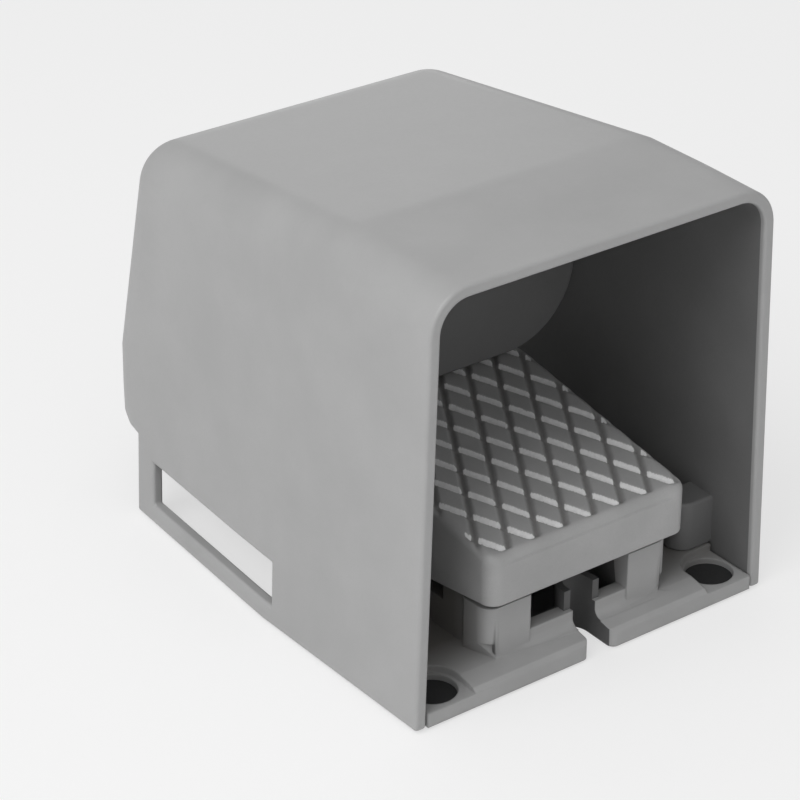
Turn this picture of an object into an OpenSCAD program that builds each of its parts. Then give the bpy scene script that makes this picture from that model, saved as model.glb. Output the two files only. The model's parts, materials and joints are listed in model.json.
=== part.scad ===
// Guarded industrial foot switch: a cast hood over a hinged treadle that works a sealed plunger switch.
// Every module is drawn with the hood's front rim at y = 0 and the casting's underside at z = 0,
// and in_frame() then puts the origin under the middle of the whole switch, on the floor.

/* [Hood] */
// Outside width of the hood at the floor
hood_w = 140; // [130:1:170]
// Height of the hood above the underside of the castings
hood_h = 145; // [130:1:175]
// Depth of the hood from front rim to rear wall
hood_d = 190; // [185:1:230]
// Wall of the hood
hood_wall = 4; // [3:0.1:5]
// Inward lean of the side walls, in degrees
hood_draft = 2; // [0:0.1:3]
// Outward bow of the side walls at mid depth
hood_bow = 2; // [0:0.5:4]
// Radius along the front top corners
front_r = 14; // [9:0.5:20]
// Radius of the rear top corners
crown_r = 15.5; // [12:0.5:24]
// Radius of the rear upright corners
rear_r = 24; // [16:1:30]
// Length of the level part of the roof
level_len = 51; // [30:1:70]
// Fall of the roof from there to the rear
roof_fall = 10.5; // [0:0.5:16]
// Lean of the rear wall between its foot and the crown
rear_lean = 22.6; // [12:0.1:28]
// Height of the rear wall's lower edge
rear_edge_z = 29; // [24:1:34]
// Height up to which the rear wall is upright
rear_foot_z = 52.5; // [40:0.5:60]
// Depth of the side walls at floor level
side_len = 161; // [158:1:170]

/* [Side windows] */
// Front end of each window
window_y = 75; // [70:1:90]
// Length of each window
window_len = 75; // [50:1:80]
// Height of the window's sill
window_z = 7; // [5:0.5:9]
// Height of each window
window_h = 16; // [10:1:18]
// How far the sill flares outwards
sill_flare = 3; // [1:0.5:4]

/* [Toe guard] */
// Distance from the front rim to the toe guard
guard_y = 85; // [84:0.5:86]
// Thickness of the toe guard
guard_t = 3; // [2:0.5:4]
// Radius of the guard's lower corners
guard_r = 28; // [16:1:34]
// Width of the guard at its lower corners
guard_w = 118; // [100:1:124]
// Gap between the guard and the treadle
guard_gap = 0.8; // [0.5:0.1:4]

/* [Base] */
// Thickness of the base plate
plate_t = 7.5; // [6.5:0.1:9]
// Height of the front lip's edge
lip_edge = 5; // [4:0.1:6]
// Depth of the wide part of the base plate
plate_d = 72; // [70:1:74]
// Thickness of the rear arm
arm_t = 6; // [5:0.1:7]
// Width of the rear arm
arm_w = 84; // [82:1:90]
// Depth of the base from the front rim
base_d = 150; // [148:1:156]
// Height of the ridge behind the lip
ridge_h = 13; // [10:0.5:16]
// Width of the front slot
slot_w = 12; // [8:0.5:14]
// Distance from the front rim to the slot's end centre
slot_y = 12; // [10:0.5:13]
// Height of the collar round the slot
collar_h = 22; // [16:0.5:23]
// Wall of that collar
collar_wall = 2.5; // [2:0.1:3]
// Distance from the front rim to the treadle posts
post_y = 8.3; // [7:0.1:9]
// Half distance between the treadle posts
post_in = 19.6; // [19.2:0.1:21]
// Half distance over the outsides of the posts
post_out = 37; // [36.5:0.1:38]
// Height of the posts in front of the ears
post_h = 26; // [22:0.5:27]
// Radius of the rear fixing holes
fixing_r = 3.25; // [2.5:0.05:4]
// Distance between the rear fixing holes
fixing_gap = 68; // [66:1:70]

/* [Treadle] */
// Width of the treadle
tread_w = 79; // [78:0.5:84]
// Distance from the front rim to the treadle's front face
tread_y = 3.5; // [3:0.1:5]
// Length of the treadle
tread_len = 88.5; // [86:0.5:90]
// Height of the tread at the treadle's front face
tread_z = 47.3; // [46:0.1:50]
// Rise of the tread towards the toe, per millimetre
tread_slope = 0.155; // [0.12:0.005:0.17]
// Thickness of the treadle's top
tread_t = 5; // [4:0.1:6]
// Wall of the treadle's skirt
skirt_wall = 3.1; // [2.5:0.1:3.2]
// Height of the front skirt's lower edge
skirt_z = 30; // [29:0.5:32]
// Angle that the treadle is pressed through
tread_travel = 8; // [4:0.5:8]
// Spacing of the diamonds across the treadle
diamond_w = 11.2; // [9:0.1:14]
// Spacing of the diamonds along the treadle
diamond_l = 19.6; // [16:0.1:24]
// Width of the grooves between diamonds
groove_w = 3; // [2:0.1:4]
// Depth of those grooves
groove_d = 1.3; // [0.8:0.1:1.6]

/* [Pivot] */
// Distance from the front rim to the pivot
pivot_y = 24; // [23:0.5:25]
// Height of the pivot
pivot_z = 36; // [35.5:0.1:36.5]
// Radius of the pivot pin
pin_r = 4; // [3.5:0.1:4.5]
// Wall of the pivot bushes
bush_wall = 1.5; // [1:0.1:2]
// Radial running clearance
run_gap = 0.04; // [0.02:0.01:0.08]

/* [Switch box] */
// Width of the switch box
box_w = 60; // [58:1:62]
// Distance from the front rim to the box
box_y = 60; // [59:0.5:61]
// Length of the box
box_len = 80; // [78:1:82]
// Height of the box body
box_h = 29; // [28.5:0.5:30]
// Wall of the box
box_wall = 3; // [2.5:0.1:3.5]
// Thickness of the box cover
cover_t = 2.5; // [2:0.1:3]
// Distance from the front rim to the plunger
plunger_y = 72; // [71.5:0.5:72.5]
// Radius of the plunger
plunger_r = 4; // [3.5:0.1:4.5]
// Plunger height above the seal at rest
plunger_out = 7.5; // [7.3:0.1:8]

/* [Cable entry] */
// Radius of the gland's thread
gland_r = 9.3; // [8:0.1:9.8]
// Radius of the cable opening in the seal
cable_r = 5; // [3:0.5:6]
// Height of the gland above the underside
gland_z = 20; // [19.5:0.5:21]

/* [Springs and rubber] */
// Radius of the return spring's coil
spring_r = 8; // [6:0.5:9]
// Radius of the return spring's wire
wire_r = 0.9; // [0.6:0.1:1.2]
// How far the rubber feet stand below the castings
foot_proud = 1; // [0.6:0.1:2]
// Radius of the rubber feet
foot_r = 8; // [6:0.5:8]
// Metal left between the front feet and the base's edge
foot_edge = 1; // [0.6:0.1:2]

/* [Hidden] */

$fn = 48;
eps = 0.5;             // overlap of shapes that are fused
seat_gap = 0.3;        // gap between faces of bodies that move past each other
paint = "#a5a5a4";

// Hood
hood_top_half = hood_w / 2 - (hood_h - front_r) * tan(hood_draft);
crown_half = hood_top_half - 1.4;
rear_half = hood_w / 2 - 5.8;
crown_z = hood_h - roof_fall - crown_r;
crown_y = hood_d - rear_lean - crown_r;
inner_half = hood_w / 2 - hood_wall;
side_in = 3;           // the side walls' drift inwards at their rear ends, from bow and draft

// Hood fixing bosses and screws
boss_x = inner_half - 8;
boss_ys = [26, 62];
boss_h = 18;
hood_screw_r = 2;

// Base
base_half = inner_half - 2 * seat_gap;
foot_x = base_half - foot_r - foot_edge;
front_foot_y = foot_r + 2;
foot_land = foot_r + 1.2;
rear_foot_y = 122;
rear_foot_x = 34;
fixing_y = base_d - 7;
wall_half = post_in + 16;
skin_t = 3.5;
cheek_pocket = 12;
box_corner = 4;
cheek_end = 56;
floor_t = 4;
buffer_x = tread_w / 2 - skirt_wall / 2;
buffer_y = 86;
buffer_r = 4.5;
pillar_h = 20;

// Treadle
skirt_low_y = 40;
skirt_low_z = 25;
skirt_rear_z = 36;
lug_r = 7;
lug_t = 6;
lug_x = post_in - seat_gap * 2;
bore_r = pin_r + bush_wall;
spring_y = 44;
tongue_z = 55;
tongue_t = 4;
tongue_len = 6;
tongue_half = 12;
rib_t = 3;
nose_step = 0.8;
nose_h = 3;
tread_end = tread_y + tread_len;

// Switch
box_z = arm_t;
box_top = box_z + box_h;
gasket_t = 1;
cover_z = box_top + gasket_t;
cover_top = cover_z + cover_t;
seal_t = 1.5;
plunger_top = cover_top + seal_t + plunger_out;
plunger_low = box_z + 14;
box_end = box_y + box_len;
block_z = box_z + box_wall;
block_t = 3.5;
carrier_z = block_z + 11;
contact_ys = [plunger_y - 5, plunger_y + 5];
box_screw_ys = [90, 130];
box_screw_x = box_w / 2 - 7;
cover_screw_x = box_w / 2 - 4;
cover_screw_ys = [box_y + 4, box_end - 4];
nut_flat = 10;

// Gland
gland_flat = 2 * gland_r + 3.4;
locknut_flat = 2 * gland_r + 2.4;
hex_t = 6;
gland_thread = 18;
locknut_t = 4;

function tread_top(y) = tread_z + tread_slope * (y - tread_y);

module in_frame() translate([0, -hood_d / 2, foot_proud]) children();

module mirrored() {
    children();
    mirror([1, 0, 0]) children();
}

// Extrudes an outline in y and z across the width, centred on x = 0
module across(width) {
    translate([-width / 2, 0, 0])
        rotate([90, 0, 90])
            linear_extrude(width)
                children();
}

// Extrudes an outline in x and z towards +y
module along(length) {
    translate([0, length, 0])
        rotate([90, 0, 0])
            linear_extrude(length)
                children();
}

// Rectangle with true round corners, centred
module round_rect(w, l, r) {
    square([w - 2 * r, l], center = true);
    square([w, l - 2 * r], center = true);
    for (sx = [-1, 1], sy = [-1, 1])
        translate([sx * (w / 2 - r), sy * (l / 2 - r)])
            circle(r);
}

module hex_prism(flat, h) cylinder(r = flat / sqrt(3), h = h, $fn = 6);

// Cylinder along +x that starts at x
module rod_x(x, r, h) translate([x, 0, 0]) rotate([0, 90, 0]) cylinder(r = r, h = h);

// Cylinder along +y that starts at y
module rod_y(y, r, h) translate([0, y, 0]) rotate([-90, 0, 0]) cylinder(r = r, h = h);

// Cap screw with its head down and its point up, from the head's face
module screw(r, length, head_h) {
    difference() {
        cylinder(r = r * 1.75, h = head_h);
        translate([0, 0, -eps])
            cylinder(r = r * 0.9, h = head_h * 0.5 + eps, $fn = 6);
    }
    translate([0, 0, head_h - 0.01])
        cylinder(r = r, h = length);
}

module spring(r, wire, h, turns) {
    sides = 8;
    steps = turns * 14;
    function ring(i) = let (a = 360 * turns * i / steps, z = wire + (h - 2 * wire) * i / steps)
        [for (k = [0 : sides - 1])
            let (b = 360 * k / sides, d = r + wire * cos(b))
                [d * cos(a), d * sin(a), z + wire * sin(b)]];
    points = [for (i = [0 : steps]) each ring(i)];
    walls = [for (i = [0 : steps - 1], k = [0 : sides - 1])
        let (n = (k + 1) % sides)
            [i * sides + k, (i + 1) * sides + k, (i + 1) * sides + n, i * sides + n]];
    first_cap = [for (k = [0 : sides - 1]) k];
    last_cap = [for (k = [sides - 1 : -1 : 0]) steps * sides + k];
    polyhedron(points, [each walls, first_cap, last_cap]);
}

// The hood's outline, drawn in from the outside by inset on every face
module hood_form(inset) {
    open_by = inset > 0 ? 1 : 0;
    arch_x = hood_top_half - front_r;
    hull() {
        mirrored() {
            translate([arch_x, -open_by, hood_h - front_r])
                rotate([-90, 0, 0])
                    cylinder(r = front_r - inset, h = level_len / 2 + open_by);
            translate([arch_x + hood_bow / 2, level_len / 2, hood_h - front_r])
                rotate([-90, 0, 0])
                    cylinder(r = front_r - inset, h = level_len / 2);
            translate([crown_half - crown_r, crown_y, crown_z])
                sphere(r = crown_r - inset);
            translate([rear_half - rear_r, hood_d - rear_r, rear_edge_z - 2])
                cylinder(r = rear_r - inset, h = rear_foot_z - rear_edge_z + 2);
            for (p = [[0, -open_by], [hood_bow, side_len / 2], [-2, side_len - inset]])
                translate([hood_w / 2 - inset + p.x - 1, p.y, -open_by])
                    cube([1, 0.01, 1]);
        }
    }
}

// Toe guard: its lower corners are round, and then it widens to meet the side walls
module guard_wall() {
    low = tread_top(guard_y + guard_t) + guard_gap;
    corner_x = guard_w / 2 - guard_r;
    full_z = low + guard_r + hood_w / 2 - guard_w / 2;
    along(guard_t)
        union() {
            polygon([
                [-guard_w / 2, low + guard_r], [-hood_w / 2, full_z], [-hood_w / 2, hood_h],
                [hood_w / 2, hood_h], [hood_w / 2, full_z], [guard_w / 2, low + guard_r]
            ]);
            translate([-corner_x, low])
                square([2 * corner_x, guard_r + eps]);
            for (side = [-1, 1])
                translate([side * corner_x, low + guard_r])
                    circle(guard_r);
        }
}

module hood_bosses() {
    mirrored()
        for (y = boss_ys)
            translate([boss_x, y, plate_t]) {
                cylinder(r = 6, h = boss_h);
                translate([0, -6, 0])
                    cube([inner_half + hood_bow + 1 - boss_x, 12, boss_h]);
            }
}

module sill() {
    outer = hood_w / 2 - 2;
    mirrored()
        translate([0, window_y - 4, 0])
            along(side_len - window_y + 2)
                polygon([
                    [outer - 2, 0], [outer + sill_flare, 0], [outer + sill_flare, 2], [outer, 5.5],
                    [outer - 2, 5.5]
                ]);
}

module hood() {
    color(paint)
        in_frame()
            difference() {
                union() {
                    difference() {
                        hood_form(0);
                        hood_form(hood_wall);
                    }
                    intersection() {
                        translate([0, guard_y, 0])
                            guard_wall();
                        hood_form(1);
                    }
                    hood_bosses();
                    sill();
                }
                translate([-hood_w, side_len, -1])
                    cube([2 * hood_w, hood_d, rear_edge_z + 1]);
                translate([-inner_half + side_in, side_len - 3 * hood_wall, -1])
                    cube([2 * (inner_half - side_in), hood_d, rear_edge_z + 1]);
                translate([0, window_y + window_len / 2, window_z + window_h / 2])
                    rotate([90, 0, 90])
                        linear_extrude(2 * hood_w, center = true)
                            round_rect(window_len, window_h, 2);
                mirrored()
                    for (y = boss_ys)
                        translate([boss_x, y, plate_t - 1])
                            cylinder(r = hood_screw_r + run_gap, h = 14);
            }
}

// Front plate: its top rises gently from the lip to the ridge
module front_plate() {
    across(2 * base_half)
        polygon([
            [0, 0], [0, lip_edge], [1.6, lip_edge + 1.3], [post_y, plate_t], [plate_d, plate_t], [plate_d, 0]
        ]);
}

module ridge() {
    cove = 3;
    across(2 * post_out)
        union() {
            translate([post_y + 0.5, 0])
                square([5, ridge_h]);
            difference() {
                translate([post_y + 0.5 - cove, plate_t - 2])
                    square([cove + eps, cove + 2]);
                translate([post_y + 0.5 - cove, plate_t + cove])
                    circle(cove);
            }
        }
}

// Post, side wall and ear that carry one end of the pivot pin
module cheek() {
    corner = 5;
    front = pivot_y - post_y - 4;
    wide = post_out - post_in;
    translate([post_in, post_y, 0])
        linear_extrude(post_h)
            union() {
                square([wide - corner, front]);
                translate([0, corner])
                    square([wide, front - corner]);
                translate([wide - corner, corner])
                    circle(corner);
            }
    translate([post_in, pivot_y - 5, 0])
        cube([wall_half - post_in, cheek_end - pivot_y + 5, 18]);
    translate([post_in, pivot_y - 8, 0])
        cube([wall_half - post_in, 16, pivot_z]);
    translate([0, pivot_y, pivot_z])
        rod_x(post_in, 8, wall_half - post_in);
}

module front_slot(inset) {
    mouth = 2.5;
    half = slot_w / 2 + inset;
    translate([0, slot_y])
        circle(half);
    translate([-half, -1])
        square([2 * half, slot_y + 1]);
    if (inset == 0)
        difference() {
            translate([-half - mouth, -1])
                square([2 * (half + mouth), mouth + 1]);
            for (side = [-1, 1])
                translate([side * (half + mouth), mouth])
                    circle(mouth);
        }
}

// Pockets that lighten the base from below, with ribs between them
module base_pockets() {
    bay_in = post_out + rib_t;
    bay_out = boss_x - 2 * hood_screw_r - rib_t;
    cheek_mid = (pivot_y + cheek_end) / 2;
    arm_end = base_d - 2 * rib_t;
    arm_start = cheek_end + rib_t;
    half_len = (arm_end - arm_start - rib_t) / 2;
    middle_w = box_screw_x - 2 * rib_t;
    mirrored() {
        // inside each cheek
        translate([(post_in + wall_half) / 2, cheek_mid, -1])
            linear_extrude(cheek_pocket + 1)
                round_rect(wall_half - post_in - 2 * floor_t, cheek_end - pivot_y - 2 * floor_t, rib_t);
        // beside each cheek, in two bays
        for (y = [pivot_y + rib_t + 4, boss_ys[1] - 2 * rib_t - 4])
            translate([(bay_in + bay_out) / 2, y, -1])
                linear_extrude(plate_t - skin_t + 1)
                    round_rect(bay_out - bay_in, 18, rib_t);
        // along the arm, in two bays
        for (i = [0, 1])
            translate([rib_t / 2 + middle_w / 2, arm_start + half_len / 2 + i * (half_len + rib_t), -1])
                linear_extrude(arm_t - skin_t + 1)
                    round_rect(middle_w, half_len, rib_t);
    }
}

module base() {
    color(paint)
        in_frame()
            difference() {
                union() {
                    front_plate();
                    ridge();
                    mirrored()
                        cheek();
                    translate([-arm_w / 2, cheek_end, 0])
                        cube([arm_w, base_d - cheek_end, arm_t]);
                    intersection() {
                        linear_extrude(collar_h)
                            front_slot(collar_wall);
                        translate([-hood_w / 2, post_y + 2, 0])
                            cube([hood_w, 40, collar_h]);
                    }
                    mirrored()
                        translate([buffer_x, buffer_y, 0])
                            cylinder(r = buffer_r, h = pillar_h);
                }
                // the space between the cheeks, down to its floor
                difference() {
                    translate([-post_in, post_y + 5.5, floor_t])
                        cube([2 * post_in, cheek_end - post_y - 5.5, 60]);
                    linear_extrude(collar_h)
                        front_slot(collar_wall);
                }
                translate([0, 0, -1])
                    linear_extrude(collar_h + 2)
                        front_slot(0);
                // seat for the switch box
                translate([0, box_y + box_len / 2, arm_t])
                    linear_extrude(plate_t)
                        round_rect(box_w + 2 * seat_gap, box_len + 2 * seat_gap, box_corner + seat_gap);
                base_pockets();
                mirrored() {
                    translate([0, pivot_y, pivot_z])
                        rod_x(0, pin_r + run_gap, wall_half + 1);
                    for (y = boss_ys)
                        translate([boss_x, y, -1]) {
                            cylinder(r = hood_screw_r + 0.3, h = plate_t + 2);
                            cylinder(r = hood_screw_r * 1.75 + 0.3, h = 4);
                        }
                    // lowered corner and hole for the front foot
                    translate([foot_x, front_foot_y, -1])
                        cylinder(r = foot_r, h = plate_t + 2);
                    translate([foot_x, front_foot_y, lip_edge]) {
                        cylinder(r = foot_land, h = plate_t);
                        translate([-foot_land, -front_foot_y - 1, 0])
                            cube([hood_w, front_foot_y + 1, plate_t]);
                        translate([0, -1, 0])
                            cube([hood_w, foot_land + 1, plate_t]);
                    }
                    translate([rear_foot_x, rear_foot_y, -1])
                        cylinder(r = foot_r - 1, h = arm_t - 1);
                    translate([fixing_gap / 2, fixing_y, -1])
                        cylinder(r = fixing_r, h = arm_t + 2);
                    for (y = box_screw_ys)
                        translate([box_screw_x, y, -1]) {
                            cylinder(r = 2.3, h = arm_t + 2);
                            cylinder(r = 3.8, h = 4);
                        }
                }
            }
}

module skirt_outline() {
    polygon([
        [tread_y, skirt_z], [tread_y + 5, skirt_z], [skirt_low_y, skirt_low_z],
        [tread_end, skirt_rear_z], [tread_end, tread_top(tread_end)],
        [tread_y + 2 * nose_step, tread_top(tread_y + 2 * nose_step)],
        [tread_y + nose_step, tread_z - nose_h / 2], [tread_y + nose_step, tread_z - nose_h],
        [tread_y, tread_z - nose_h - nose_step / 4]
    ]);
}

// Two families of V grooves that leave flat diamonds, with one crossing at (cross_x, cross_y)
module tread_grooves() {
    cross_x = 2.4;
    cross_y = 4.8;
    edge_angle = atan2(diamond_w, diamond_l);
    step = diamond_w * cos(edge_angle);
    reach = ceil((tread_w / 2 + tread_len * tan(edge_angle)) / diamond_w);
    bottom = groove_w / 8;
    translate([0, 0, tread_top(0)])
        rotate([atan(tread_slope), 0, 0])
            translate([cross_x, cross_y, 0])
                for (way = [-1, 1], i = [-reach : reach])
                    rotate([0, 0, way * edge_angle])
                        translate([i * step, -tread_len / 2, 0])
                            along(2 * tread_len)
                                polygon([
                                    [-groove_w / 2, 0.01], [groove_w / 2, 0.01],
                                    [bottom, -groove_d], [-bottom, -groove_d]
                                ]);
}

module treadle() {
    color(paint)
        in_frame()
            difference() {
                union() {
                    difference() {
                        intersection() {
                            across(tread_w)
                                skirt_outline();
                            translate([0, tread_y + tread_len / 2, 0])
                                linear_extrude(hood_h)
                                    round_rect(tread_w, tread_len, 5);
                        }
                        // hollow underside
                        across(tread_w - 2 * skirt_wall)
                            polygon([
                                [tread_y + 4, 0], [tread_end + 1, 0],
                                [tread_end + 1, tread_top(tread_end + 1) - tread_t],
                                [tread_y + 4, tread_top(tread_y + 4) - tread_t]
                            ]);
                    }
                    mirrored() {
                        translate([0, pivot_y, pivot_z])
                            rod_x(lug_x - lug_t, lug_r, lug_t);
                        translate([lug_x - lug_t, pivot_y - lug_r, pivot_z])
                            cube([lug_t, 2 * lug_r, tread_top(pivot_y - lug_r) - tread_t - pivot_z + 1.5]);
                        // stiffening rib
                        translate([lug_x - lug_t / 2, pivot_y, 0])
                            across(rib_t)
                                polygon([
                                    [0, pivot_z], [48, tread_top(72) - tread_t - 4],
                                    [48, tread_top(72) - tread_t + 1], [0, tread_top(24) - tread_t + 1]
                                ]);
                    }
                    // seat for the adjusting screw and locating stud for the spring
                    translate([0, plunger_y, plunger_top + 4])
                        cylinder(r = 6, h = tread_top(plunger_y) - tread_t / 2 - plunger_top - 4);
                    translate([0, spring_y, tread_top(spring_y) - tread_t - 4])
                        cylinder(r = spring_r - wire_r - 0.6, h = 6);
                    translate([-tongue_half, tread_end - 1, tongue_z])
                        cube([2 * tongue_half, tongue_len + 1, tongue_t]);
                }
                tread_grooves();
                mirrored()
                    translate([0, pivot_y, pivot_z])
                        rod_x(lug_x - lug_t - 1, bore_r, lug_t + 2);
                translate([0, pivot_y, pivot_z])
                    rod_x(lug_x + 5, pin_r + 0.5, tread_w);
                translate([0, plunger_y, plunger_top])
                    cylinder(r = 3, h = 8.5);
            }
}

module pivot_pin() {
    color("#c9cacc")
        in_frame()
            translate([0, pivot_y, pivot_z])
                rod_x(-wall_half + 0.5, pin_r, 2 * wall_half - 1);
}

module pivot_bushes() {
    color("#b08d57")
        in_frame()
            mirrored()
                translate([0, pivot_y, pivot_z])
                    difference() {
                        union() {
                            rod_x(lug_x - lug_t, bore_r, lug_t);
                            rod_x(lug_x - lug_t - 1, bore_r + 1.3, 1);
                        }
                        rod_x(lug_x - lug_t - 2, pin_r + run_gap, lug_t + 3);
                    }
}

module pin_clips() {
    color("#8f9193")
        in_frame()
            mirrored()
                translate([0, pivot_y, pivot_z])
                    difference() {
                        rod_x(lug_x - lug_t - 2.3, pin_r + 2.5, 1);
                        rod_x(lug_x - lug_t - 3, pin_r, 3);
                        translate([lug_x - lug_t - 3, -1.5, -pin_r - 4])
                            cube([3, 3, 5]);
                    }
}

module return_spring() {
    low = floor_t + 1 + 0.1;
    color("#b9bcc0")
        in_frame()
            translate([0, spring_y, low])
                spring(spring_r, wire_r, tread_top(spring_y - spring_r) - tread_t - low - 0.4, 8);
}

module spring_seat() {
    color("#2f3133")
        in_frame()
            translate([0, spring_y, floor_t]) {
                cylinder(r = spring_r + 2.5, h = 1);
                cylinder(r = spring_r - wire_r - 0.4, h = 5);
            }
}

module buffers() {
    color("#2a2a2b")
        in_frame()
            mirrored()
                translate([buffer_x, buffer_y, pillar_h]) {
                    cylinder(r = buffer_r, h = 4);
                    translate([0, 0, 3.9])
                        cylinder(r1 = buffer_r, r2 = buffer_r - 1, h = 1);
                }
}

module stop_bracket() {
    strip = 2.5;
    back = tread_end + 12.5;
    lip_z = tongue_z + tongue_t + 2.4;
    color("#b4b7ba")
        in_frame()
            difference() {
                across(2 * tongue_half)
                    polygon([
                        [back + 13, cover_top], [back + 13, cover_top + strip], [back, cover_top + strip],
                        [back, lip_z + strip], [tread_end + 0.5, lip_z + strip], [tread_end + 0.5, lip_z],
                        [back - strip, lip_z], [back - strip, cover_top]
                    ]);
                for (side = [-1, 1])
                    translate([side * 7, back + 7, cover_top - 1])
                        cylinder(r = 2.1, h = 5);
            }
}

module stop_pad() {
    color("#2a2a2b")
        in_frame()
            translate([-tongue_half + 1, tread_end + 1, tongue_z + tongue_t + 0.4])
                cube([2 * tongue_half - 2, 6, 2]);
}

module bracket_screws() {
    color("#b9bcc0")
        in_frame()
            for (side = [-1, 1])
                translate([side * 7, tread_end + 19.5, cover_top + 2.5 + 2.2])
                    mirror([0, 0, 1])
                        screw(2, 4.5, 2.2);
}

module switch_box() {
    inner = [box_w - 2 * box_wall, box_len - 2 * box_wall, box_h];
    color("#8e9092")
        in_frame()
            difference() {
                union() {
                    difference() {
                        translate([0, box_y + box_len / 2, box_z])
                            linear_extrude(box_h)
                                round_rect(box_w, box_len, box_corner);
                        translate([-inner.x / 2, box_y + box_wall, block_z])
                            cube(inner);
                    }
                    mirrored() {
                        for (y = cover_screw_ys)
                            translate([cover_screw_x, y, box_z + 1])
                                cylinder(r = 4, h = box_h - 1);
                        for (y = box_screw_ys)
                            translate([box_screw_x, y, box_z + 1])
                                cylinder(r = 4, h = 11);
                    }
                }
                mirrored() {
                    for (y = cover_screw_ys)
                        translate([cover_screw_x, y, box_top - 10])
                            cylinder(r = 1.5 + run_gap, h = 11);
                    for (y = box_screw_ys)
                        translate([box_screw_x, y, box_z - 1])
                            cylinder(r = 2 + run_gap, h = 10);
                    translate([14, plunger_y, block_z - 2])
                        cylinder(r = 1.5 + run_gap, h = 3);
                }
                translate([0, 0, gland_z])
                    rod_y(box_end - box_wall - 1, gland_r + run_gap, box_wall + 2);
                translate([0, box_end - 12, block_z - 2])
                    cylinder(r = 2 + run_gap, h = 3);
            }
}

module cover_outline(h) {
    difference() {
        translate([0, box_y + box_len / 2, 0])
            linear_extrude(h)
                round_rect(box_w, box_len, box_corner);
        mirrored()
            for (y = cover_screw_ys)
                translate([cover_screw_x, y, -1])
                    cylinder(r = 1.5 + 0.2, h = h + 2);
    }
}

module box_gasket() {
    rim = 5;
    color("#2a2a2b")
        in_frame()
            translate([0, 0, box_top])
                difference() {
                    cover_outline(gasket_t);
                    translate([-box_w / 2 + rim, box_y + rim + 4, -1])
                        cube([box_w - 2 * rim, box_len - 2 * rim - 8, gasket_t + 2]);
                    translate([-box_w / 2 + rim + 4, box_y + rim, -1])
                        cube([box_w - 2 * rim - 8, box_len - 2 * rim, gasket_t + 2]);
                }
}

module box_cover() {
    color("#8e9092")
        in_frame()
            difference() {
                translate([0, 0, cover_z])
                    cover_outline(cover_t);
                translate([0, plunger_y, cover_z - 1])
                    cylinder(r = plunger_r + run_gap, h = cover_t + 2);
                for (side = [-1, 1])
                    translate([side * 7, tread_end + 19.5, cover_z - 1])
                        cylinder(r = 2 + run_gap, h = cover_t + 2);
            }
}

module cover_screws() {
    color("#b9bcc0")
        in_frame()
            mirrored()
                for (y = cover_screw_ys)
                    translate([cover_screw_x, y, cover_top + 1.8])
                        mirror([0, 0, 1])
                            screw(1.5, cover_t + gasket_t + 7, 1.8);
}

module box_screws() {
    color("#b9bcc0")
        in_frame()
            mirrored()
                for (y = box_screw_ys)
                    translate([box_screw_x, y, 0.8])
                        screw(2, 11, 2.2);
}

module plunger_seal() {
    color("#2a2a2b")
        in_frame()
            translate([0, plunger_y, cover_top])
                difference() {
                    cylinder(r = plunger_r + 3, h = seal_t);
                    translate([0, 0, -1])
                        cylinder(r = plunger_r + run_gap, h = seal_t + 2);
                }
}

module plunger() {
    dome = 1.5;
    color("#c9cacc")
        in_frame()
            translate([0, plunger_y, plunger_low]) {
                cylinder(r = plunger_r, h = plunger_top - plunger_low - dome);
                translate([0, 0, plunger_top - plunger_low - dome - 0.01])
                    cylinder(r1 = plunger_r, r2 = plunger_r - dome, h = dome + 0.01);
            }
}

module contact_carrier() {
    color("#1f3f6b")
        in_frame()
            translate([0, plunger_y, carrier_z])
                difference() {
                    translate([-8, -9, 0])
                        cube([16, 18, 7]);
                    cylinder(r = plunger_r, h = 20);
                    for (y = contact_ys)
                        translate([-9, y - plunger_y - 2, 1])
                            cube([18, 4, 1.2]);
                }
}

module bridge_contacts() {
    color("#c8a24a")
        in_frame()
            for (y = contact_ys)
                for (side = [-1, 1])
                    translate([side > 0 ? plunger_r + 0.5 : -13, y - 2, carrier_z + 1])
                        cube([13 - plunger_r - 0.5, 4, 1.2]);
}

module plunger_spring() {
    color("#b9bcc0")
        in_frame()
            translate([0, plunger_y, block_z + 0.1])
                spring(4.2, 0.5, carrier_z - block_z - 0.2, 5);
}

module contact_block() {
    color("#d9d6cc")
        in_frame()
            difference() {
                translate([-21, plunger_y - 9, block_z])
                    cube([42, 18, block_t]);
                translate([0, plunger_y, block_z - 1])
                    cylinder(r = 6, h = block_t + 2);
                mirrored()
                    translate([14, plunger_y, block_z - 1])
                        cylinder(r = 1.7, h = block_t + 2);
            }
}

module fixed_contacts() {
    color("#c8a24a")
        in_frame()
            mirrored()
                for (y = contact_ys)
                    translate([9.5, y - 2, block_z + block_t])
                        cube([10.5, 4, 1.2]);
}

module terminal_screws() {
    color("#b9bcc0")
        in_frame()
            mirrored()
                for (y = contact_ys)
                    translate([17.5, y, block_z + block_t + 1.2])
                        difference() {
                            cylinder(r = 1.9, h = 1.8);
                            translate([-3, -0.3, 1])
                                cube([6, 0.6, 2]);
                        }
}

module block_screws() {
    color("#b9bcc0")
        in_frame()
            mirrored()
                translate([14, plunger_y, block_z + block_t + 1.8])
                    mirror([0, 0, 1])
                        screw(1.5, block_t + 1.5, 1.8);
}

module earth_screw() {
    color("#c8a24a")
        in_frame()
            translate([0, box_end - 12, block_z + 2.4])
                mirror([0, 0, 1])
                    screw(2, 1.5, 2.4);
}

module adjusting_screw() {
    color("#b9bcc0")
        in_frame()
            translate([0, plunger_y, plunger_top + seat_gap])
                cylinder(r = 3, h = 8);
}

module adjusting_nut() {
    color("#b9bcc0")
        in_frame()
            translate([0, plunger_y, plunger_top + 0.8])
                difference() {
                    hex_prism(nut_flat, 3.2);
                    translate([0, 0, -1])
                        cylinder(r = 3, h = 6);
                }
}

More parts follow.
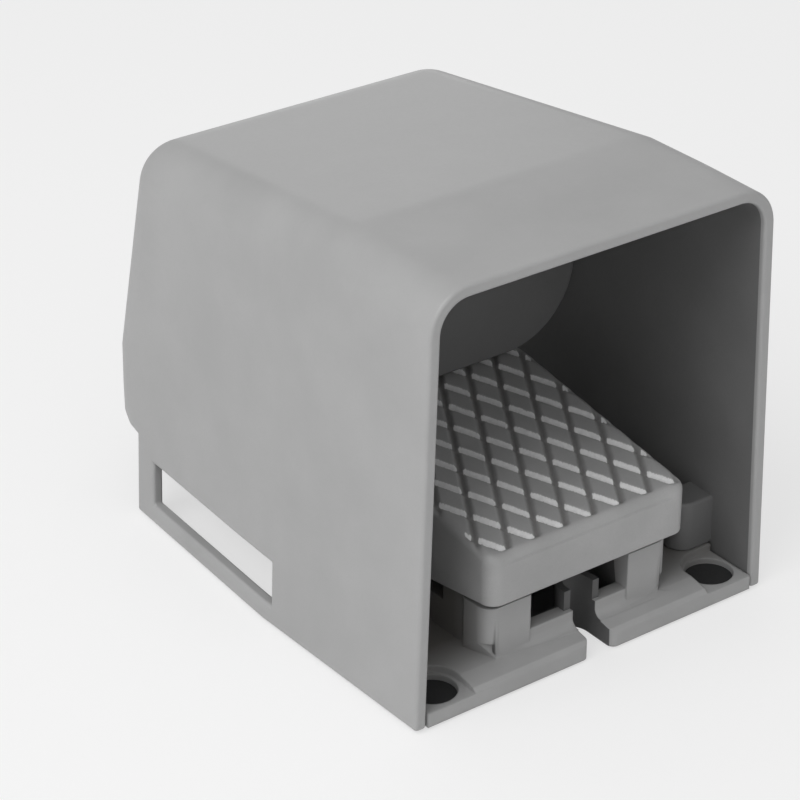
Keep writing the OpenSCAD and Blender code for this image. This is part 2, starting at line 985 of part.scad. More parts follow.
module hood_screws() {
    color("#b9bcc0")
        in_frame()
            mirrored()
                for (y = boss_ys)
                    translate([boss_x, y, 0.8])
                        screw(hood_screw_r, 15, 2.2);
}

module rubber_feet() {
    color("#2a2a2b")
        in_frame()
            mirrored() {
                translate([foot_x, front_foot_y, -foot_proud])
                    cylinder(r = foot_r - 0.05, h = foot_proud + 3);
                translate([rear_foot_x, rear_foot_y, -foot_proud])
                    cylinder(r = foot_r - 1.05, h = foot_proud + arm_t - 2);
            }
}

module gland_body() {
    color("#9b9ea1")
        in_frame()
            translate([0, box_end, gland_z])
                difference() {
                    union() {
                        rotate([-90, 0, 0])
                            hex_prism(gland_flat, hex_t);
                        rod_y(-box_wall - 5, gland_r, box_wall + 5 + eps);
                        rod_y(hex_t - eps, gland_r, gland_thread - hex_t + eps);
                    }
                    rod_y(-20, cable_r + 1.5, 60);
                    rod_y(hex_t + 2, gland_r - 2, 60);
                }
}

module gland_seal() {
    color("#2a2a2b")
        in_frame()
            translate([0, box_end, gland_z])
                difference() {
                    rod_y(hex_t + 2, gland_r - 2, gland_thread - hex_t);
                    rod_y(0, cable_r, 60);
                }
}

module gland_nut() {
    start = hex_t + 0.5;
    color("#9b9ea1")
        in_frame()
            translate([0, box_end, gland_z])
                difference() {
                    union() {
                        rotate([-90, 0, 0])
                            translate([0, 0, start])
                                hex_prism(gland_flat, 9);
                        rod_y(start + 8.5, gland_r + 1.2, 4);
                        translate([0, start + 12.4, 0])
                            rotate([-90, 0, 0])
                                cylinder(r1 = gland_r + 1.2, r2 = cable_r + 3, h = 4);
                    }
                    rod_y(start - 1, gland_r, gland_thread - start + 3);
                    rod_y(0, cable_r + 1.5, 60);
                }
}

module gland_locknut() {
    color("#9b9ea1")
        in_frame()
            translate([0, box_end - box_wall - locknut_t, gland_z])
                difference() {
                    rotate([-90, 0, 0])
                        hex_prism(locknut_flat, locknut_t);
                    rod_y(-1, gland_r, locknut_t + 2);
                }
}

hood();
base();
treadle();
pivot_pin();
pivot_bushes();
pin_clips();
return_spring();
spring_seat();
buffers();
stop_bracket();
stop_pad();
bracket_screws();
switch_box();
box_gasket();
box_cover();
cover_screws();
box_screws();
plunger_seal();
plunger();
contact_carrier();
bridge_contacts();
plunger_spring();
contact_block();
fixed_contacts();
terminal_screws();
block_screws();
earth_screw();
adjusting_screw();
adjusting_nut();
hood_screws();
rubber_feet();
gland_body();
gland_seal();
gland_nut();
gland_locknut();
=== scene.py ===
"""Guarded foot switch: cast hood, hinged diamond treadle and sealed plunger switch."""
import json
import math

import bmesh
import bpy
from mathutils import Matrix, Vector, noise
from mathutils.bvhtree import BVHTree


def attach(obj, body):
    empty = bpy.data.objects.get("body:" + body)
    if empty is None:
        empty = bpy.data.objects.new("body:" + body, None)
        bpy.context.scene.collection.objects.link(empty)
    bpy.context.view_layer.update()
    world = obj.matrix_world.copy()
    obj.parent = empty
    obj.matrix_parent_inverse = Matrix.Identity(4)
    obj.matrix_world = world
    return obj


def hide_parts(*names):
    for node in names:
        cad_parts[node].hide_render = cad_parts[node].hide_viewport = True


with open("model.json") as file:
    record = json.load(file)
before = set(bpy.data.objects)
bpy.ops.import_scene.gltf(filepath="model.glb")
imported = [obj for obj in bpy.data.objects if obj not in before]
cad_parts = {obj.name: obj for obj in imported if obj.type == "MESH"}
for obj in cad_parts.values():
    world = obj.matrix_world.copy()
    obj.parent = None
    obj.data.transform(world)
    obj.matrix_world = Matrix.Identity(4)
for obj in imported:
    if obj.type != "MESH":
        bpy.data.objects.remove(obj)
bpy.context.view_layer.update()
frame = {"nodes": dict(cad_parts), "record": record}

MM = 0.001
NODES = frame["nodes"]

# Sizes that the looks share with the CAD model, in millimetres.
# Drawings have y = 0 at the hood's front rim and z = 0 under the castings.

# Hood: overall size, roundings, fall of the roof and lean of the rear
HOOD_W = 140.0
HOOD_H = 145.0
HOOD_D = 190.0
HOOD_WALL = 4.0
HOOD_DRAFT = math.radians(2.0)
HOOD_BOW = 2.0
FRONT_R = 14.0
CROWN_R = 15.5
REAR_R = 24.0
LEVEL_LEN = 51.0
ROOF_FALL = 10.5
REAR_LEAN = 22.6
REAR_EDGE_Z = 29.0
REAR_FOOT_Z = 52.5
SIDE_LEN = 161.0
CROWN_NARROW = 1.4
REAR_NARROW = 5.8
TOE_IN = 2
OVERRUN = 1

# Side window, the sill under it, and the ledge that draws the wall in low down at the rear
WINDOW_Y = 75.0
WINDOW_LEN = 75.0
WINDOW_Z = 7.0
WINDOW_H = 16.0
SILL_FLARE = 3.0
SILL_IN = 2
SILL_AHEAD = 4
SILL_TOP = 5.5
SILL_RISE = 3.5
LEDGE = 1.3
LEDGE_FADE_Y = (108, 138)
LEDGE_FADE_Z = (31, 35.5)

# Places that follow from the hood's sizes
TOP_HALF = HOOD_W / 2 - (HOOD_H - FRONT_R) * math.tan(HOOD_DRAFT)
ARCH_X = TOP_HALF - FRONT_R
CROWN_X = TOP_HALF - CROWN_NARROW - CROWN_R
CROWN_Y = HOOD_D - REAR_LEAN - CROWN_R
CROWN_Z = HOOD_H - ROOF_FALL - CROWN_R
REAR_X = HOOD_W / 2 - REAR_NARROW - REAR_R
HELMET_LOW = REAR_FOOT_Z + 2
LEAN_FROM_Y = 62

# Toe guard, screw bosses, and how far they reach into the wall that carries them
GUARD_Y = 85.0
GUARD_T = 3.0
GUARD_R = 28.0
GUARD_W = 118.0
GUARD_LOW = 61.2
GUARD_FROM = 4
GUARD_STEPS = 40
BOSS_X = 58.0
BOSS_YS = (26, 62)
BOSS_R = 6
BOSS_H = 18
BITE = 1

# Base: thickness of its plate, height of its ridge, and the outline of its treadle posts
FOOT_PROUD = 1.0
PLATE_T = 7.5
RIDGE_H = 13.0
POST_Y = 8.3
POST_IN = 19.6
POST_OUT = 37.0
POST_R = 5.0

# Treadle: its tread, the diamonds cut in it, and what it turns on and presses
TREAD_W = 79.0
TREAD_Y = 3.5
TREAD_LEN = 88.5
TREAD_Z = 47.3
TREAD_SLOPE = 0.155
TREAD_T = 5.0
SKIRT_WALL = 3.1
DIAMOND_W = 11.2
DIAMOND_L = 19.6
CROSS_X = 2.4
CROSS_Y = 4.8
GROOVE_W = 3.0
GROOVE_D = 1.3
PIVOT_Y = 24.0
PIVOT_Z = 36.0
PLUNGER_Y = 72.0
PLUNGER_TOP = 48.0
SPRING_Y = 44.0

# Finish of the meshes: steps of a quarter turn, how close two places are that count as one,
# and a slight shift for a ray that slips between two faces
FINE = 48
CLOSE = 0.1
AWRY = Vector((0.002, -0.003, -0.002))
ARC = 8

# Stage and camera
WHITE = (1.0, 1.0, 1.0, 1.0)
FLOOR_WHITE = 0.6
FLOOR_HALF = 6.0
AIM = Vector((0, 0, 0.07))
CAMERA_PLACE = Vector((-0.4883, -0.6523, 0.4984))
CAMERA_TURN = -36.5
CAMERA_RISE = 28.8
CAMERA_LENS = 127.35


def at(x, y, z):
    """A point of the drawings as a point of the model, in metres."""
    return Vector((x, y - HOOD_D / 2, z + FOOT_PROUD)) * MM


def new_piece(name, verts, faces, body="frame"):
    """A mesh object from points of the drawings, riding on a body."""
    mesh = bpy.data.meshes.new(name)
    mesh.from_pydata([at(*v) for v in verts], [], faces)
    mesh.validate()
    bm = bmesh.new()
    bm.from_mesh(mesh)
    bmesh.ops.recalc_face_normals(bm, faces=bm.faces)
    bm.to_mesh(mesh)
    bm.free()
    mesh.shade_smooth()
    piece = bpy.data.objects.new(name, mesh)
    bpy.context.scene.collection.objects.link(piece)
    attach(piece, body)
    return piece


# ---------------------------------------------------------------- materials

class Socket:
    """A shader value that adds its Math nodes when it is used in an expression."""

    def __init__(self, shader, link):
        self.shader = shader
        self.link = link

    def _math(self, operation, first, second):
        return self.shader.node("ShaderNodeMath", {"operation": operation}, {0: first, 1: second})

    def __add__(self, other):
        return self._math("ADD", self, other)

    def __sub__(self, other):
        return self._math("SUBTRACT", self, other)

    def __rsub__(self, other):
        return self._math("SUBTRACT", other, self)

    def __mul__(self, other):
        return self._math("MULTIPLY", self, other)

    __radd__ = __add__
    __rmul__ = __mul__


class Nodes:
    """An emptied node tree and the one way to add a node to it."""

    def __init__(self, owner):
        owner.use_nodes = True
        self.tree = owner.node_tree
        self.tree.nodes.clear()

    def node(self, kind, settings=None, sockets=None, output=0):
        """Adds a node: its settings first, then its sockets' values and links."""
        made = self.tree.nodes.new(kind)
        for key, value in (settings or {}).items():
            setattr(made, key, value)
        for key, value in (sockets or {}).items():
            if isinstance(value, Socket):
                self.tree.links.new(value.link, made.inputs[key])
            else:
                made.inputs[key].default_value = value
        return Socket(self, made.outputs[output]) if made.outputs else None


class Shader(Nodes):
    """One material and its nodes."""

    def __init__(self, name):
        self.material = bpy.data.materials.new(name)
        super().__init__(self.material)
        self.place = self.node("ShaderNodeTexCoord", output="Object")

    def grain(self, size, detail=3.0):
        """Cloudy noise from 0 to 1 whose lumps are about size millimetres across."""
        sockets = {"Vector": self.place, "Scale": 1 / (size * MM), "Detail": detail, "Roughness": 0.55}
        return self.node("ShaderNodeTexNoise", {}, sockets)

    def layer(self, name):
        """A value that the mesh carries at its points."""
        return self.node("ShaderNodeAttribute", {"attribute_name": name}, output="Fac")

    def spread(self, value, low, high, start=0.0, end=1.0):
        """The value's stretch from low to high, as start to end, held at both ends."""
        return self.node("ShaderNodeMapRange", {}, {0: value, 1: low, 2: high, 3: start, 4: end})

    def blend(self, factor, first, second):
        return self.node("ShaderNodeMix", {"data_type": "RGBA"}, {0: factor, 6: first, 7: second}, output=2)

    def bump(self, height, depth, strength=1.0, base=None):
        sockets = {"Strength": strength, "Distance": depth * MM, "Height": height}
        if base:
            sockets["Normal"] = base
        return self.node("ShaderNodeBump", {}, sockets)

    def soft_edges(self, radius):
        """A surface direction that turns smoothly over sharp edges."""
        return self.node("ShaderNodeBevel", {"samples": 6}, {"Radius": radius * MM})

    def place_along(self, axis):
        """The place along one axis, in metres."""
        return self.node("ShaderNodeSeparateXYZ", {}, {0: self.place}, output=axis)

    def finish(self, sockets):
        surface = self.node("ShaderNodeBsdfPrincipled", {}, sockets)
        self.node("ShaderNodeOutputMaterial", {}, {0: surface})
        return self.material


def grey(level, warm=0.0):
    """A linear grey from its level on the 0 to 255 display scale, warmer where warm is above 0."""
    share = level / 255
    linear = share / 12.92 if share < 0.04045 else ((share + 0.055) / 1.055) ** 2.4
    return (linear * (1 + warm), linear, linear * (1 - warm), 1.0)


def enamel(name, level, depth=0.03, rough=0.38):
    """Satin grey paint over a sand-smooth casting."""
    m = Shader(name)
    clouds = m.grain(28, 4)
    peel = m.grain(1.6, 2)
    tone = m.blend(m.spread(clouds, 0.3, 0.7), grey(level - 4), grey(level + 3))
    tone = m.blend(m.spread(m.grain(0.5, 2), 0.55, 0.8, 0.0, 0.25), tone, grey(level - 16))
    return m.finish({
        "Base Color": tone,
        "Roughness": m.spread(clouds * 0.6 + peel * 0.4, 0.3, 0.7, rough - 0.05, rough + 0.07),
        "Normal": m.bump(peel + clouds * 0.5, depth, 0.6),
    })


# Where the base's painted shade begins and where it is full, in millimetres back from the rim.
PAINTED_SHADE_FROM = 12
PAINTED_SHADE_TO = 29


def base_enamel_painted_shade(name, level, deep):
    """Grey enamel of the base: clean at the front lip, with painted shade darkening and warming it further
    in under the hood, where it is also rougher.
    """
    m = Shader(name)
    clouds = m.grain(22, 4)
    peel = m.grain(1.4, 2)
    tone = m.blend(m.spread(clouds, 0.3, 0.7), grey(level - 5), grey(level + 3))
    # Painted shade: the paint darkens and warms from the front lip back under the hood, and grows rougher
    # there.
    inward = m.spread(m.place_along(1) + clouds * 0.006, at(0, PAINTED_SHADE_FROM, 0).y, at(0, PAINTED_SHADE_TO, 0).y)
    tone = m.blend(inward, tone, grey(deep, 0.05))
    return m.finish({
        "Base Color": tone,
        "Roughness": m.spread(clouds * 0.6 + peel * 0.4 + inward * 0.3, 0.3, 1.0, 0.40, 0.60),
        "Normal": m.bump(peel + clouds * 0.5, 0.03, 0.6, m.soft_edges(0.9)),
    })


def rubbed_highlit_enamel(name, level, bright):
    """Grey enamel, scuffed on the lands, with bright ragged patches on the groove flanks that face the
    front left: partly paint rubbed off where the sole catches, partly a painted highlight.
    """
    m = Shader(name)
    clouds = m.grain(16, 4)
    peel = m.grain(1.3, 2)
    chips = m.grain(1.7, 3)
    tone = m.blend(m.spread(clouds, 0.3, 0.7), grey(level - 6), grey(level + 5))
    tone = m.blend(m.spread(m.grain(0.45, 2), 0.5, 0.8, 0.0, 0.3), tone, grey(level - 22))
    # Darker towards the bottoms of the grooves.
    tone = m.blend(m.layer("groove_darkening") * 0.6, tone, grey(level - 70, 0.04))
    # Bright patches on the groove flanks that face the front left: partly rubbed paint, partly a painted
    # highlight.
    rubbed_and_highlit_share = m.spread(m.layer("rubbed_and_highlit") + chips * 0.9 - 0.45, 0.35, 0.62)
    tone = m.blend(rubbed_and_highlit_share, tone, m.blend(m.spread(peel, 0.3, 0.7), grey(bright - 12), grey(bright)))
    return m.finish({
        "Base Color": tone,
        "Roughness": m.spread(clouds * 0.6 + peel * 0.4 - rubbed_and_highlit_share * 0.2, 0.1, 0.7, 0.34, 0.5),
        "Normal": m.bump(peel + clouds * 0.5 + rubbed_and_highlit_share * 0.5, 0.04, 0.6),
    })


def dimmed(colour, share):
    """A colour turned down to a share of its brightness."""
    return tuple(c * share for c in colour[:3]) + (1.0,)


def metal(name, colour, rough):
    """Bare or plated metal with a faint haze."""
    m = Shader(name)
    haze = m.grain(9, 4)
    fine = m.grain(0.4, 2)
    tone = m.blend(m.spread(haze, 0.3, 0.7), dimmed(colour, 0.86), colour)
    return m.finish({
        "Base Color": tone,
        "Metallic": 1.0,
        "Roughness": m.spread(haze * 0.5 + fine * 0.5, 0.3, 0.7, rough - 0.06, rough + 0.08),
        "Normal": m.bump(fine, 0.01, 0.5),
    })


def moulding(name, colour, rough):
    """Moulded rubber or plastic."""
    m = Shader(name)
    clouds = m.grain(12, 3)
    fine = m.grain(1.2, 2)
    tone = m.blend(m.spread(clouds, 0.3, 0.7), dimmed(colour, 0.85), colour)
    return m.finish({
        "Base Color": tone,
        "Roughness": m.spread(clouds * 0.5 + fine * 0.5, 0.3, 0.7, rough - 0.06, rough + 0.06),
        "Normal": m.bump(fine, 0.03, 0.5),
    })


FINISHES = {
    "castings": enamel("castings_enamel", 172),
    # The hood's inside is the outside's paint made darker: painted shade.
    "hood_inside": enamel("hood_inside_painted_shade", 118, 0.05, 0.55),
    # Base paint with painted shade further in under the hood.
    "base": base_enamel_painted_shade("base_enamel_painted_shade", 172, 118),
    # Darker base paint: painted shade in the slot and between the posts.
    "base_inside": enamel("base_inside_painted_shade", 96, 0.05, 0.6),
    # Treadle paint with bright groove flanks: partly rubbed paint, partly a painted highlight.
    "treadle": rubbed_highlit_enamel("treadle_enamel", 172, 240),
    "box": enamel("box_casting", 140, 0.08, 0.55),
    "steel": metal("zinc_plated_steel", (0.60, 0.61, 0.62, 1.0), 0.32),
    "spring_steel": metal("spring_wire", (0.50, 0.51, 0.52, 1.0), 0.28),
    "bronze": metal("sintered_bronze", (0.45, 0.30, 0.13, 1.0), 0.45),
    "contact_metal": metal("contact_brass", (0.65, 0.50, 0.20, 1.0), 0.30),
    "gland_metal": metal("nickel_plate", (0.60, 0.59, 0.56, 1.0), 0.25),
    "rubber": moulding("black_rubber", (0.030, 0.030, 0.031, 1.0), 0.75),
    "black_plastic": moulding("black_plastic", (0.030, 0.030, 0.035, 1.0), 0.45),
    "blue_plastic": moulding("blue_plastic", (0.020, 0.060, 0.160, 1.0), 0.45),
    "cream_plastic": moulding("cream_plastic", (0.68, 0.65, 0.57, 1.0), 0.5),
}


def paint_nodes():
    """Gives every CAD node the finish of its record slot."""
    for entry in frame["record"]["subparts"]:
        node = NODES[entry["node"]]
        node.data.materials.clear()
        node.data.materials.append(FINISHES[entry["material_slot"]])


# ---------------------------------------------------------------- grids that wrap a rounded box

def margin():
    """How far out the lines of a rounded edge lie, as shares of its radius, for equal steps of the arc."""
    return [math.tan(math.pi / 4 * k / ARC) for k in range(1, ARC + 1)]


def lines(inner, low_edge, high_edge):
    """Pairs of a line's place and its reach into the rounding, with a rounding at either end or at both."""
    made = [(p, 0.0) for p in inner]
    if low_edge:
        made = [(inner[0], -m) for m in reversed(margin())] + made
    if high_edge:
        made += [(inner[-1], m) for m in margin()]
    return made


def wrap_faces(counts, sides):
    """Quads of grid places (i, j, k) on the chosen sides, each a pair of an axis and an end."""
    faces = []
    for axis, end in sides:
        first, second = [a for a in range(3) if a != axis]
        fixed = (counts[axis] - 1) * end
        for a in range(counts[first] - 1):
            for b in range(counts[second] - 1):
                quad = []
                for da, db in ((0, 0), (1, 0), (1, 1), (0, 1)):
                    place = [0, 0, 0]
                    place[axis] = fixed
                    place[first] = a + da
                    place[second] = b + db
                    quad.append(tuple(place))
                faces.append(quad)
    return faces


def closed_shell(faces, outer, inner):
    """Vertices and faces of a wall between two skins of one grid, closed along every open edge."""
    uses = {}
    for quad in faces:
        for a, b in zip(quad, quad[1:] + quad[:1]):
            uses.setdefault(frozenset((a, b)), []).append((a, b))
    places = {}
    for quad in faces:
        for place in quad:
            places.setdefault(place, len(places))
    verts = [outer(p) for p in places] + [inner(p) for p in places]
    shift = len(places)
    made = [[places[p] for p in quad] for quad in faces]
    made += [[places[p] + shift for p in reversed(quad)] for quad in faces]
    for pairs in uses.values():
        if len(pairs) == 1:
            a, b = (places[p] for p in pairs[0])
            made.append([b, a, a + shift, b + shift])
    return verts, made


def joined(*shells):
    """Several closed shells as one list of vertices and one of faces."""
    verts, faces = [], []
    for some_verts, some_faces in shells:
        faces += [[i + len(verts) for i in face] for face in some_faces]
        verts += some_verts
    return verts, faces


def plate(outline, axis, low, high):
    """A flat plate from an outline in the other two axes."""
    def point(p, depth):
        made = list(p)
        made.insert(axis, depth)
        return tuple(made)
    count = len(outline)
    verts = [point(p, low) for p in outline] + [point(p, high) for p in outline]
    faces = [list(range(count)), list(reversed(range(count, 2 * count)))]
    faces += [[i, (i + 1) % count, (i + 1) % count + count, i + count] for i in range(count)]
    return verts, faces


def eased(piece, width, segments, angle=38):
    """Rounds the sharp edges of a piece and keeps its flat faces flat in shading."""
    bevel = piece.modifiers.new("eased_edges", "BEVEL")
    bevel.width = width * MM
    bevel.segments = segments
    bevel.limit_method = "ANGLE"
    bevel.angle_limit = math.radians(angle)
    bevel.harden_normals = False
    shading = piece.modifiers.new("flat_shading", "WEIGHTED_NORMAL")
    shading.keep_sharp = True


def arc(cx, cy, r, start, end, steps):
    """Points along an arc, angles in degrees."""
    turns = [math.radians(start + (end - start) * k / steps) for k in range(steps + 1)]
    return [(cx + r * math.cos(turn), cy + r * math.sin(turn)) for turn in turns]


def ramp(value, low, high):
    """0 below low, 1 above high and smooth between."""
    share = min(max((value - low) / (high - low), 0.0), 1.0)
    return share * share * (3 - 2 * share)


# ---------------------------------------------------------------- hood

def hood_hull(inset):
    """The hood's closed outline, drawn in by inset, as a tree for ray casts."""
    points = []
    for side in (-1, 1):
        middle = LEVEL_LEN / 2
        for x, ys in ((ARCH_X, (-OVERRUN, middle)), (ARCH_X + HOOD_BOW / 2, (middle, LEVEL_LEN))):
            corner = arc(x, HOOD_H - FRONT_R, FRONT_R - inset, 0, 90, FINE)
            points += [(side * a, y, b) for y in ys for a, b in corner]
        for k in range(FINE + 1):
            tilt = math.pi / 2 * k / FINE
            r = CROWN_R - inset
            z = CROWN_Z + r * math.sin(tilt)
            corner = arc(CROWN_X, CROWN_Y, r * math.cos(tilt), 0, 90, FINE)
            points += [(side * a, b, z) for a, b in corner]
        for z in (REAR_EDGE_Z - 2 * OVERRUN, REAR_FOOT_Z):
            corner = arc(REAR_X, HOOD_D - REAR_R, REAR_R - inset, 0, 90, FINE)
            points += [(side * a, b, z) for a, b in corner]
        for x, y in ((0, -OVERRUN), (HOOD_BOW, SIDE_LEN / 2), (-TOE_IN, SIDE_LEN)):
            points.append((side * (HOOD_W / 2 - inset + x), y, -OVERRUN))
    bm = bmesh.new()
    for p in points:
        bm.verts.new(p)
    bmesh.ops.convex_hull(bm, input=bm.verts)
    tree = BVHTree.FromBMesh(bm)
    bm.free()
    return tree


def hood_grid():
    """Lines of the hood's grid. Some follow the windows, the sill, the lower rear edge and the crease."""
    across, upward = 8, 12
    xs = [-1 + i / across for i in range(2 * across + 1)]
    ys = [0, 2, 5, 10, 16, 22, 28, 34, 40, 45, 48, LEVEL_LEN, 54, 57, 62, 68, 72, WINDOW_Y,
          80, 86, 92, 98, 104, 110, 115, 120, 125, 130, 135, 140, 145, WINDOW_Y + WINDOW_LEN,
          155, SIDE_LEN, HOOD_D - REAR_R]
    zs = [0, 2, 3.7, 5.5, WINDOW_Z, 10, 13, 16, 19.5, WINDOW_Z + WINDOW_H, 26, REAR_EDGE_Z, 30.5, 32,
          33.5, 35, 37, 40, HELMET_LOW]
    high = HOOD_H - FRONT_R
    zs += [HELMET_LOW + (high - HELMET_LOW) * i / upward for i in range(1, upward + 1)]
    return lines(xs, True, True), lines(ys, False, True), lines(zs, False, True)


def hood_skeleton(x, y, z):
    """The line that the hood's rounded edges turn round, for a place of the grid."""
    high = HOOD_H - FRONT_R
    back = HOOD_D - REAR_R
    up = max(0.0, (z - HELMET_LOW) / (high - HELMET_LOW))
    rear = max(0.0, (y - LEAN_FROM_Y) / (back - LEAN_FROM_Y))
    y_real = y - up * rear * (back - CROWN_Y)
    fall = max(0.0, (y_real - LEVEL_LEN) / (CROWN_Y - LEVEL_LEN))
    z_real = z - up * min(fall, 1.0) * (high - CROWN_Z)
    half = ARCH_X + (CROWN_X - ARCH_X) * min(fall, 1.0)
    return Vector((x * half, y_real, z_real))


def outside_width(hit):
    """Half width of the hood's outside: drawn in low down at the rear, and flared at the window's sill."""
    fade = ramp(hit.y, *LEDGE_FADE_Y) * (1 - ramp(hit.z, *LEDGE_FADE_Z))
    wide = abs(hit.x) - LEDGE * fade
    if WINDOW_Y - SILL_AHEAD < hit.y < SIDE_LEN + CLOSE and hit.z < SILL_TOP - CLOSE:
        flare = SILL_FLARE * min(1, max(0, (SILL_TOP - hit.z) / SILL_RISE))
        wide = max(wide, HOOD_W / 2 - SILL_IN + flare)
    return wide


def hood_shell():
    """Both skins of the hood, cast on to its hull from a line inside its roundings."""
    grid = hood_grid()
    counts = [len(axis) for axis in grid]

    def kept(quad):
        ys = [grid[1][p[1]] for p in quad]
        zs = [grid[2][p[2]] for p in quad]
        y = sum(p[0] + p[1] * REAR_R for p in ys) / 4
        z = sum(p[0] for p in zs) / 4
        flat = all(p[0] in (0, counts[0] - 1) for p in quad)
        beside_window = WINDOW_Y < y < WINDOW_Y + WINDOW_LEN
        in_window = flat and beside_window and WINDOW_Z < z < WINDOW_Z + WINDOW_H
        return not in_window and not (y > SIDE_LEN and z < REAR_EDGE_Z)

    def skin(inset, outside):
        tree = hood_hull(inset)

        def point(place):
            (x, ox), (y, oy), (z, oz) = (grid[a][place[a]] for a in range(3))
            start = hood_skeleton(x, y, z)
            way = Vector((ox, oy, oz)).normalized()
            hit = tree.ray_cast(start, way)[0] or tree.ray_cast(start + AWRY, way)[0]
            if outside and abs(ox) == 1 and oz == 0:
                hit.x = math.copysign(1, ox) * outside_width(hit)
            return tuple(hit)
        return point

    faces = [quad for quad in wrap_faces(counts, ((0, 0), (0, 1), (1, 1), (2, 1))) if kept(quad)]
    return closed_shell(faces, skin(0, True), skin(HOOD_WALL, False))


def toe_guard():
    """Wall across the hood above the treadle, with large round lower corners."""
    tree = hood_hull(HOOD_WALL - BITE)
    middle = Vector((0, GUARD_Y, GUARD_LOW + GUARD_R))
    corner_x = GUARD_W / 2 - GUARD_R
    side = arc(corner_x, GUARD_LOW + GUARD_R, GUARD_R, -90, 0, 14)
    top = []
    for k in range(GUARD_STEPS + 1):
        turn = math.radians(GUARD_FROM + (90 - GUARD_FROM) * k / GUARD_STEPS)
        hit = tree.ray_cast(middle, Vector((math.cos(turn), 0, math.sin(turn))))[0]
        top.append((hit.x, hit.z))
    half = side + top
    outline = half + [(-x, z) for x, z in reversed(half[:-1])]
    return plate(outline, 1, GUARD_Y, GUARD_Y + GUARD_T)


def boss(side, y):
    """Screw boss with its web to the side wall."""
    x = side * BOSS_X
    web_end = HOOD_W / 2 - HOOD_WALL + BITE
    outline = [(x - side * a, y + b) for a, b in arc(0, 0, BOSS_R, -90, 90, 12)]
    outline += [(side * web_end, y + BOSS_R), (side * web_end, y - BOSS_R)]
    return plate(outline, 2, PLATE_T, PLATE_T + BOSS_H)


INSIDE_SHARE = 0.7
RIM_DEPTH = 2.5
RIM_EASE = 1.1


def build_hood():
    bosses = [boss(side, y) for side in (-1, 1) for y in BOSS_YS]
    piece = new_piece("hood_casting", *joined(hood_shell(), toe_guard(), *bosses))
    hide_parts("hood")
    piece.data.materials.append(FINISHES["castings"])
    piece.data.materials.append(FINISHES["hood_inside"])
    inside = hood_hull(HOOD_WALL * INSIDE_SHARE)
    # Faces of the inside skin, toe guard and bosses take the darker paint: painted shade inside the hood.
    for face in piece.data.polygons:
        middle = Vector(face.center) / MM - at(0, 0, 0) / MM
        spot, normal, _, _ = inside.find_nearest(middle)
        if middle.y > RIM_DEPTH and (middle - spot).dot(normal) < 0:
            face.material_index = 1
    eased(piece, RIM_EASE, 4)


# ---------------------------------------------------------------- treadle

EDGE_R = 2.7
CORNER_R = 5.0
BORDER = 2.5
NOSE = 0.5
NOSE_FADE_X = (10, 4)
NOSE_FADE_Y = 6
LOW_R = 0.6
EDGE_STEPS = 6
TREAD_STEP = 0.5
LINE_H = 0.25
WALL_TOP = 0.55
WALL_SHARES = (1.0, 0.97, 0.75, 0.5, 0.25, 0.0)
SKIRT_FRONT_Z = 30.0
SKIRT_DIP_Z = 25.0
SKIRT_REAR_Z = 36.0
SKIRT_LEVEL = 5
SKIRT_DIP_Y = 40
GROOVE_WAVER = 0.18
GROOVE_STEEP = 1.25
GROOVE_ROUND = 1.15
GROOVE_FADE = 0.7
FLANK_FADE = 0.35
FLANK_PAST = 0.15
CROSSING = 0.75
SINK = 0.6
LUG_R = 7.0
LUG_BORE = 5.5
LUG_XS = (13.0, 19.0)
RIB_XS = (14.5, 17.5)
RIB_DEPTH = 4
SEAT_SINK = 0.8
SEAT_R = 6.0
SEAT_BORE = 3.0
STUD_R = 6.5
STUD_H = 4.8
STUD_SIDES = 32
TAIL_LEN = 6
TAIL_ZS = (55, 59)
TAIL_HALF = 12


def tread_top(y):
    """Height of the tread's slope."""
    return TREAD_Z + TREAD_SLOPE * (y - TREAD_Y)


def skirt_low(y):
    """Height of the skirt's lower edge."""
    if y < TREAD_Y + SKIRT_LEVEL:
        return SKIRT_FRONT_Z
    if y < SKIRT_DIP_Y:
        fall = (y - TREAD_Y - SKIRT_LEVEL) / (SKIRT_DIP_Y - SKIRT_LEVEL - TREAD_Y)
        return SKIRT_FRONT_Z - (SKIRT_FRONT_Z - SKIRT_DIP_Z) * fall
    rise = (y - SKIRT_DIP_Y) / (TREAD_Y + TREAD_LEN - SKIRT_DIP_Y)
    return SKIRT_DIP_Z + (SKIRT_REAR_Z - SKIRT_DIP_Z) * rise


def from_groove(x, y, way):
    """Signed distance to the nearest groove of one of the two families."""
    side = math.hypot(DIAMOND_W / 2, DIAMOND_L / 2)
    across_x, across_y = DIAMOND_L / 2 / side, way * DIAMOND_W / 2 / side
    gap = DIAMOND_W * across_x
    off = (x - CROSS_X) * across_x + (y - CROSS_Y) * across_y
    return off - gap * round(off / gap)


def groove_depth(x, y):
    """Depth of the V grooves, with eased shoulders and a rounded bottom."""
    depth = 0.0
    for way in (-1, 1):
        waver = GROOVE_WAVER * noise.noise(Vector((x, y, 7 * way)) * 0.7)
        away = abs(from_groove(x, y, way)) + waver
        share = max(0.0, 1 - away / (GROOVE_W / 2))
        depth = max(depth, GROOVE_D * min(1.0, share * GROOVE_STEEP) ** GROOVE_ROUND)
    return depth * ramp(y, TREAD_Y + BORDER, TREAD_Y + BORDER + GROOVE_FADE)


def flank_rub_and_highlight(x, y):
    """1 on the groove flank that faces the front left, where the sole rubs and a highlight is painted,
    fading at its sides and at the crossings.
    """
    along, over = from_groove(x, y, -1), from_groove(x, y, 1)
    from_bottom = (over + 0.1) / FLANK_FADE
    from_top = (GROOVE_W / 2 + FLANK_PAST - over) / FLANK_FADE
    from_crossing = (abs(along) - CROSSING) / 0.4
    flank = max(0.0, min(1.0, from_bottom, from_top, from_crossing))
    return flank * ramp(y, TREAD_Y + BORDER, TREAD_Y + BORDER + 0.8)


